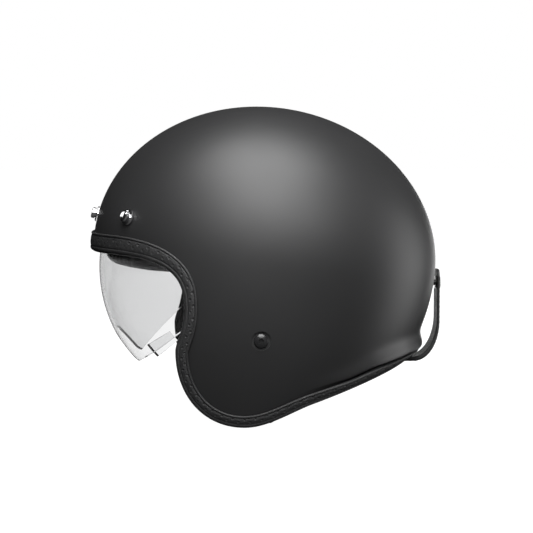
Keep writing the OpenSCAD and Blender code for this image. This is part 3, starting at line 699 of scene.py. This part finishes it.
# ---------------------------------------------------------------- edge trim with rolled edges and punched dots
# It stands PROUD of the shell and reaches LEG up inside it. The CAD takes its widths at HOOP + SIDE + HOOP stations.
PROUD, LEG = 2.1, 6.0
HOOP, SIDE = 20, 14
BROW_WIDTH, SIDE_WIDTH, NAPE_WIDTH = 10, 6.6, 6.2
DOT_PITCH, DOT_ROWS = 9.0, ((0.34, 0.0), (0.66, 0.5))


def cad_share(s):
    """A chain place as the CAD's share of the half edge, so that the widths change at the same places."""
    first = HOOP * (1 - rise_back(1 - s / SIDE_FROM))
    middle = HOOP + SIDE * (s - SIDE_FROM) / (SIDE_TO - SIDE_FROM)
    final = HOOP + SIDE + HOOP * rise_back((s - SIDE_TO) / (len(SHELL_EDGE) - SIDE_TO))
    return np.where(s <= SIDE_FROM, first, np.where(s <= SIDE_TO, middle, final)) / (2 * HOOP + SIDE)


def even_edge(chain, step):
    """Half of an edge in even steps: its points, chain places and lengths along it."""
    s = len(chain) / 2 * (1 - np.cos(np.linspace(0, math.pi, 4000)))
    p = at(chain_at(chain, s))
    p[0, 0] = p[-1, 0] = 0
    run = np.concatenate([[0], np.cumsum(np.linalg.norm(np.diff(p, axis=0), axis=1))])
    arc = np.linspace(0, run[-1], round(run[-1] / step) + 1)
    s = np.interp(arc, run, s)
    p = at(chain_at(chain, s))
    p[0, 0] = p[-1, 0] = 0
    return p, s, arc


def trim_width(share):
    """It narrows past the brow and again towards the nape."""
    side, nape = smooth((share - 0.075) / 0.125), smooth((share - 0.32) / 0.15)
    return BROW_WIDTH + (SIDE_WIDTH - BROW_WIDTH) * side + (NAPE_WIDTH - SIDE_WIDTH) * nape


def trim_outline(w, s):
    """Its corners as [offset, inset]; w is its width and s is 1 where it thickens to meet the lip above it."""
    top, roll, inside = w - 0.6 * s, 0.8 * (1 - s), -WALL - 0.4
    face = [(1.3, top + 0.8), (PROUD + 0.2, top + 0.5), (PROUD + 0.3, top - 0.7), (PROUD - 0.6, top - 1.2),
            (PROUD - 0.1, top - 1.8), (PROUD + 0.1, top * 0.55), (PROUD - 0.1, 1.0), (PROUD - 0.6, 0.3)]
    lifted = [(o + s * (0.5 + 2.6 * min(1, max(0, (d - 0.6) / (w - 2)))), d) for o, d in face]
    round_edge = [(PROUD - 0.2, -0.7), (1.1 + roll * 0.3, -1.9 - roll * 0.8), (-0.3, -2.7 - roll), (-1.9, -3.1 - roll),
                  (-4.0, -2.3 - roll)]
    leg = [(-WALL - 1.5, -0.4), (-WALL - 1.5, LEG), (inside, LEG), (inside, -0.3), (0.3, -0.3)]
    return rounded_off([(0.3, w + 0.2)] + lifted + round_edge + leg, 2)


def punched(arc, d, w):
    """The relief of two staggered rows of punched dots, each a hollow with a low rim, on the trim's outer face."""
    relief = 0
    for row, shift in DOT_ROWS:
        a = (arc / DOT_PITCH + shift + 0.5) % 1.0 - 0.5
        r = np.hypot(a * DOT_PITCH, d - row * w)
        relief = relief - 0.8 * np.exp(-(r / 0.7) ** 2) + 0.2 * np.exp(-((r - 1.25) / 0.35) ** 2)
    return relief


trim_path, trim_s, trim_arc = even_edge(SHELL_EDGE, 0.62)
widths = trim_width(cad_share(trim_s)) + 0.8 * climb(trim_path)
shapes = np.array([trim_outline(w, s) for w, s in zip(widths, lip_share(trim_path))])
face = (shapes[..., 0] > PROUD - 0.7) & (shapes[..., 1] > 0)
shapes[..., 0] += np.where(face, punched(trim_arc[:, None], shapes[..., 1], widths[:, None]), 0)
trim = edge_bar("trim_visual", trim_path, shapes, True)
shade(trim, 70)
dress(trim, "helmet", "trim_leather", "edge_trim")

# ---------------------------------------------------------------- visor
# A bowed cylinder about the pivots' line, from LOW to HIGH degrees. The nose notch is an arc of radius NOTCH between
# two corner arcs of radius ROUND, stretched upwards.
PIVOT, EAR, BORE = np.array([0, -19.4, -9.0]), 15, 4.06
VISOR_R, VISOR_HALF, VISOR_WALL, VISOR_FULL = 110.3, 106.5, 2.2, 0.06
LOW, HIGH, NOTCH, ROUND, STRETCH = -41.5, 14.0, 27.0, 9.0, 1.12
NOTCH_END = math.sqrt((NOTCH + ROUND) ** 2 - ROUND ** 2)


def visor_radius(x, r0, x0):
    q = (x / x0) ** 2
    return r0 * np.sqrt(np.clip(1 - q, 0, 1)) * (1 + VISOR_FULL * q)


def visor_place(radius, x, degrees):
    radius, x, a = np.broadcast_arrays(radius, x, np.radians(degrees))
    return np.stack([x, PIVOT[1] - radius * np.cos(a), PIVOT[2] + radius * np.sin(a)], -1)


def notch_height(x):
    touch = NOTCH * NOTCH_END / (NOTCH + ROUND)
    x = np.abs(x)
    arch = np.sqrt(np.clip(NOTCH ** 2 - x ** 2, 0, None))
    corner = ROUND - np.sqrt(np.clip(ROUND ** 2 - (NOTCH_END - np.minimum(x, NOTCH_END)) ** 2, 0, None))
    height = np.where(x >= NOTCH_END, 0, np.where(x > touch, corner, arch))
    return np.maximum(0, height * STRETCH - 0.5)


def visor_mesh():
    half = np.unique(np.concatenate([np.linspace(0, 22, 12), np.linspace(22, NOTCH_END, 28),
                                     VISOR_HALF * np.sin(np.radians(np.linspace(18.6, 84, 44)))]))
    x = np.concatenate([-half[:0:-1], half])
    up = np.linspace(0, 1, 60)[None]
    skins = []
    for depth in (0, VISOR_WALL):
        x0 = VISOR_HALF - depth
        xs = x * (x0 / VISOR_HALF)
        r = visor_radius(xs, VISOR_R - depth, x0)
        low = LOW + np.degrees(np.arcsin(np.clip(notch_height(x) / np.maximum(r, 30), 0, 0.9)))[:, None]
        skins.append(visor_place(r[:, None], xs[:, None], low + (HIGH - low) * up).reshape(-1, 3))
    return np.concatenate(skins), plate_faces(len(x), up.size)


visor = outward(new_object("visor_visual", *visor_mesh()))
mod = visor.modifiers.new("edge", "BEVEL")
mod.width, mod.segments, mod.limit_method, mod.angle_limit = 0.5 * MM, 2, "ANGLE", math.radians(50)
baked(visor)
for side in (1, -1):
    middle = (side * (VISOR_HALF - VISOR_WALL / 2), PIVOT[1], PIVOT[2])
    cylinder_on(visor, "UNION", *middle, EAR, VISOR_WALL, 96)
    cylinder_on(visor, "DIFFERENCE", *middle, BORE, 4 * VISOR_WALL, 96)
shade(visor, 40)
dress(visor, "visor", "visor_clear", "visor_lens")

# ---------------------------------------------------------------- padded pieces
CLOTH_FRAMES = 20


def half_path(start, stop, n):
    """Points of the surface along the liner's edge, from the middle line at the chain place start to stop."""
    s = start + (stop - start) * (1 - rise(1 - np.arange(n + 1) / n))
    p = at(chain_at(LINER_EDGE, s))
    p[0, 0] = 0
    return p


def places(obj):
    v = np.empty(len(obj.data.vertices) * 3)
    obj.data.vertices.foreach_get("co", v)
    return v.reshape(-1, 3)


def put(obj, v):
    obj.data.vertices.foreach_set("co", v.ravel())
    obj.data.update()


def out_of(p):
    """The shell's outward direction at points in metres."""
    return normal(on_shell(p / MM, 6))


def swollen(obj, voxel, most, hold=True, pressure=4.0):
    """Remeshes a pad and lets cloth pressure fill it by at most so many mm; hold keeps it off the liner behind it."""
    mod = obj.modifiers.new("remesh", "REMESH")
    mod.mode, mod.voxel_size = "VOXEL", voxel * MM
    baked(obj)
    start = places(obj)
    cloth = obj.modifiers.new("cloth", "CLOTH")
    cloth.settings.use_pressure = True
    cloth.settings.uniform_pressure_force = pressure
    cloth.settings.effector_weights.gravity = 0
    cloth.point_cache.frame_start, cloth.point_cache.frame_end = 1, CLOTH_FRAMES
    for frame_number in range(1, CLOTH_FRAMES + 1):
        bpy.context.scene.frame_set(frame_number)
    baked(obj)
    bpy.context.scene.frame_set(1)
    move = places(obj) - start
    if hold:
        n = out_of(start)
        move -= n * np.maximum(0, (move * n).sum(1) - 0.1 * MM)[:, None]
    reach = np.linalg.norm(move, axis=1, keepdims=True)
    put(obj, start + move * np.minimum(1, most * MM / np.maximum(reach, 1e-9)))
    mod = obj.modifiers.new("smooth", "SUBSURF")
    mod.levels = mod.render_levels = 1
    return baked(obj)


def sewn(obj, distance, depth, width):
    """Presses sewn channels into a pad's inner face: distance(p) is in mm from the nearest seam."""
    v = places(obj)
    n = out_of(v)
    own = np.empty(len(v) * 3)
    obj.data.vertices.foreach_get("normal", own)
    inner = smooth(-(own.reshape(-1, 3) * n).sum(1) * 2)
    put(obj, v + n * (inner * depth * MM * np.exp(-(distance(v / MM) / width) ** 2))[:, None])


def pad(obj, slot, fill, *replaced, body="helmet"):
    shade(obj, 60)
    dress(obj, body, slot, *replaced)


# Offsets of the liner's inner face and of the faces of the pads that lie on it.
LINER_DEPTH, PAD = 31.0, 5.5
ON_LINER, PAD_FACE = -LINER_DEPTH - 0.4, -LINER_DEPTH - PAD


def even(offset, p):
    return offset + 0 * p[..., 0]


def crown_inner(p, d):
    """It is thinner near its edge."""
    return even(-LINER_DEPTH - 1.6 - (PAD if d > 4 else 2.5), p)


def crown_seams(p):
    """Two long bowed seams, with cross seams between them."""
    x, y = abs(p[:, 0]), p[:, 1]
    return np.minimum(abs(x - 34 + y ** 2 / 900), np.where(x < 34, abs((y + 12) % 44 - 22), 99))


crown = cap("crown_pad_visual", CROWN_EDGE, 1, 2, 20, 24, [0, 3, 8], [0, 3, 8],
            lambda p, d: even(-LINER_DEPTH - 1.7, p), crown_inner)
swollen(crown, 4.0, 3.0)
sewn(crown, crown_seams, 2.6, 2.6)
pad(crown, "pad_fabric", 0.6, "crown_pad")


def padded_bar(name, path, outline, voxel, most):
    """A swollen bar along a half path; outline(t) is its section at the share t of the path."""
    shares = np.arange(len(path)) / (len(path) - 1)
    bar = edge_bar(name, path, np.array([rounded_off(outline(t), 1) for t in shares]), False)
    return swollen(bar, voxel, most)


def brow_outline(t):
    """Its outer edge reaches up to 4 further beside the brow."""
    e = -4 * float(smooth(2 * t) * (1 - smooth((t - 0.4) / 0.35)))
    return [(-11.6, -1), (-11.6, e - 7), (-16, e - 10), (-30, e - 10.5), (PAD_FACE, e - 7),
            (PAD_FACE - 1, 4), (PAD_FACE, 16), (ON_LINER, 18), (ON_LINER, -1)]


def roll_outline(t):
    return [(-6.2, 1), (-6.2, 8), (-9, 15), (-20, 17), (-32, 13), (PAD_FACE - 1, 2), (PAD_FACE, -14),
            (ON_LINER, -16), (ON_LINER, 1)]


pad(padded_bar("brow_pad_visual", half_path(0, 1.05, 48), brow_outline, 3.0, 1.6), "pad_leather", 0.7, "brow_pad")
pad(padded_bar("neck_roll_visual", half_path(4, 3.12, 48), roll_outline, 3.5, 2.5), "pad_leather", 0.7, "neck_roll")

CHEEK, CHEEK_OUTER, CHEEK_INNER, CHEEK_CROWN = [(-55, -52), (46, -56), (42, -84), (-53, -96)], 25.9, 29.0, 6.5


def cheek_mesh(side):
    """A crowned slab between two depths, over a four-cornered place in the side view."""
    u, v = np.meshgrid(np.linspace(0, 1, 41), np.linspace(0, 1, 25), indexing="ij")
    bow_u, bow_v = np.sin(math.pi * u), np.sin(math.pi * v)
    c = [np.array(q, float) for q in CHEEK]
    u, v = u[..., None], v[..., None]
    q = (c[0] + (c[1] - c[0]) * u) * (1 - v) + (c[3] + (c[2] - c[3]) * u) * v
    q = q + np.stack([3 * (2 * u[..., 0] - 1) * bow_v, (v[..., 0] - 0.5) * -5 * bow_u], -1)
    p = at(q)
    n = normal(p)
    swell = CHEEK_CROWN * np.sqrt(np.clip(bow_u * bow_v, 0, 1))
    skins = [p - n * CHEEK_OUTER, p - n * (CHEEK_INNER + swell[..., None])]
    return np.concatenate([skin.reshape(-1, 3) for skin in skins]) * [side, 1, 1], plate_faces(*swell.shape)


def cheek_seams(p):
    """Two slanting seams across a cheek pad."""
    lean = p[:, 1] + 0.35 * (p[:, 2] + 70)
    return np.minimum(abs(lean - 16), abs(lean + 22))


for side, name in ((1, "left"), (-1, "right")):
    cheek = outward(new_object("cheek_pad_visual_" + name, *cheek_mesh(side)))
    swollen(cheek, 3.0, 2.5)
    sewn(cheek, cheek_seams, 2.2, 2.2)
    pad(cheek, "pad_fabric", 0.7, "cheek_pad_" + name)


# ---------------------------------------------------------------- straps
def strap_outline(width, wall):
    """A flat strap's outline [across, through] with round edges."""
    r = wall / 2
    flat = np.linspace(-width / 2 + r, width / 2 - r, 14)
    turn = np.radians(np.linspace(-90, 90, 5))[1:-1]
    right = [(width / 2 - r + r * math.cos(a), r * math.sin(a)) for a in turn]
    return np.array([(x, -r) for x in flat] + right + [(x, r) for x in flat[::-1]] + [(-x, -z) for x, z in right])


def strip(name, line, across, width, wall, taper=None, walls=None):
    """A strap along points in mm, with its width along the unit vector across. taper scales its width at each share
    of its length, and walls scales its wall at each point."""
    n = unit(ups_of(line, across))
    o = strap_outline(width, wall)
    k = taper(np.arange(len(line)) / (len(line) - 1)) if taper else np.ones(len(line))
    thick = np.ones(len(line)) if walls is None else walls
    wide = o[None, :, :1] * np.asarray(across, float) * k[:, None, None]
    rows = line[:, None] + wide + o[None, :, 1:] * n[:, None] * thick[:, None, None]
    return outward(new_object(name, rows.reshape(-1, 3), tube_faces(*rows.shape[:2])))


def ups_of(line, across):
    """Directions out of a strap's face at each of its points."""
    return np.cross(unit(np.gradient(line, axis=0)), across)


def evenly(points, step, rounds):
    """Rounds off the corners of a line and takes its points in even steps."""
    p = rounded_off(points, rounds, closed=False)
    run = np.concatenate([[0], np.cumsum(np.linalg.norm(np.diff(p, axis=0), axis=1))])
    s = np.linspace(0, run[-1], max(3, round(run[-1] / step)))
    return np.stack([np.interp(s, run, p[:, k]) for k in range(p.shape[1])], 1)


def threads(name, rows, length, width, height):
    """Short raised stitches along rows of [points, outward directions]."""
    seg, rings = 8, 5
    turns = np.linspace(0, 2 * math.pi, seg, endpoint=False)
    shape = np.array([[x, math.sqrt(1 - x * x) * math.cos(a), math.sqrt(1 - x * x) * math.sin(a)]
                      for x in np.linspace(-1, 1, rings) * 0.96 for a in turns])
    verts = []
    for line, ups in rows:
        t = unit(np.gradient(line, axis=0))
        side = np.cross(t, ups)
        verts.append((line[:, None] + t[:, None] * shape[None, :, :1] * length / 2
                      + side[:, None] * shape[None, :, 1:2] * width / 2
                      + ups[:, None] * shape[None, :, 2:] * height / 2).reshape(-1, 3))
    verts = np.concatenate(verts)
    one = tube_faces(rings, seg)
    faces = [[f + start for f in face] for start in range(0, len(verts), len(shape)) for face in one]
    obj = outward(new_object(name, verts, faces))
    return shade(obj, 60)


# The goggle strap and its tab are one leather piece that bends at the hinge. It runs straight down behind the shell,
# curls forward under BEND_Z and ends flat on FLOOR_Z, where it is FOOT_WALL thick.
STRAP_WALL, FOOT_WALL, STRAP_BACK, BEND_Z, FLOOR_Z, HINGE_Y = 2.0, 3.6, 137.4, -50.0, -83.4, 117.5
mid, foot = STRAP_WALL / 2, FOOT_WALL / 2
curl = [(HINGE_Y + (STRAP_BACK - HINGE_Y - mid) * math.cos(a), BEND_Z - (BEND_Z - FLOOR_Z - foot) * math.sin(a))
        for a in np.radians(np.arange(0, 91, 6))]
strap_line = ([(STRAP_BACK - mid, z) for z in (-11.6, -20, -30, -40)] + curl
              + [(y, FLOOR_Z + foot) for y in (110, 103.6)])
line = evenly([(0, y, z) for y, z in strap_line], 1.0, 1)
walls = 1 + (FOOT_WALL / STRAP_WALL - 1) * np.clip((BEND_Z - line[:, 2]) / (BEND_Z - FLOOR_Z - foot), 0, 1)


def strap_end(t):
    """The strap's end is round."""
    return np.sqrt(np.clip(1 - (1 - np.minimum(1, t / 0.07)) ** 2 * 0.65, 0, 1))


goggle = strip("goggle_strap_visual", line, (1, 0, 0), 22, STRAP_WALL, strap_end, walls)
shade(goggle, 60)
ups = ups_of(line, (1, 0, 0))
ups *= np.sign(ups[len(ups) // 3, 1])
pick = slice(9, len(line) - 3, 4)
rows = [(line[pick] + [x, 0, 0] + ups[pick] * (mid * walls[pick, None] + 0.05), ups[pick]) for x in (-8.6, 8.6)]
goggle_thread = threads("goggle_strap_thread", rows, 2.6, 0.7, 0.6)
STRAP_JOINT = (("helmet", "goggle_strap"), (0, 0.1135, -0.0816), (0, 0.1215, -0.0816))
bend(goggle, STRAP_JOINT, "strap_leather", "goggle_strap", "goggle_strap_tab")
bend(goggle_thread, STRAP_JOINT, "strap_leather", mat="thread")

# Each half of the chin strap loops over its anchor plate and runs down to the buckle. The right one is sewn on top of
# the tongue and follows it into the buckle.
CHIN_Y, CHIN_WIDTH, CHIN_WALL = -8.3, 24.0, 2.0
CHIN = [(100.3, -77), (100.2, -70.4), (101, -68.6), (102.5, -68.2), (104, -68.6), (104.7, -70.4), (103.3, -77),
        (100.4, -84), (96, -92.5), (89.5, -101), (80, -107.5), (66, -113.5), (50, -118), (25, -122.5)]
CHIN_ENDS = ((1, "left", CHIN[:12] + [(55.5, -117)]), (-1, "right", CHIN + [(2, -124.2), (-3, -125), (-8, -124.2)]))
TONGUE_JOINT = (("chin_strap", "ratchet_tongue"), (-0.035, -0.0083, -0.1225), (0.002, -0.0083, -0.1246))
for side, name, points in CHIN_ENDS:
    line = evenly([(side * x, CHIN_Y, z) for x, z in points], 1.2, 2)
    strap = strip("chin_strap_visual_" + name, line, (0, 1, 0), CHIN_WIDTH, CHIN_WALL)
    shade(strap, 60)
    if name == "right":
        bend(strap, TONGUE_JOINT, "webbing", "chin_strap_right")
    else:
        dress(strap, "chin_strap", "webbing", "chin_strap_left")
    ups = ups_of(line, (0, 1, 0)) * side
    # The stitches start under the anchor plate, past the points that loop over it.
    low = np.argmin(abs(line[:, 2] + 80) + np.where(np.arange(len(line)) < 16, 99, 0))
    k = np.arange(low, low + 14, 2)
    rows = [(line[k] + [0, y, 0] + ups[k] * face, ups[k]) for y in (-9, 9) for face in (1.0, -1.0)]
    dress(threads("chin_strap_thread_" + name, rows, 2.0, 0.6, 0.7), "chin_strap", "webbing", mat="thread")

SLEEVE = [(82, -106.2), (66, -113.5), (50, -118), (25, -122.5), (14, -123.4)]
sleeve = strip("chin_sleeve_visual", evenly([(-x, CHIN_Y, z) for x, z in SLEEVE], 2.0, 3), (0, 1, 0), 27, 5.6)
swollen(sleeve, 2.5, 1.2, hold=False, pressure=3.0)
pad(sleeve, "pad_fabric", 0.5, "chin_strap_sleeve", body="chin_strap")

# ---------------------------------------------------------------- floor
low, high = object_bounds()
bpy.ops.mesh.primitive_plane_add(size=14, location=(0, 0, low.z - 0.0005))
floor = bpy.context.object
floor.name = "floor"
pale = Paint("floor", (0.1, 0.1, 0.1), 0.9, Emission_Color=(1, 1, 1, 1), Emission_Strength=1.0)
floor.data.materials.append(pale.mat)
floor.visible_diffuse = floor.visible_glossy = False
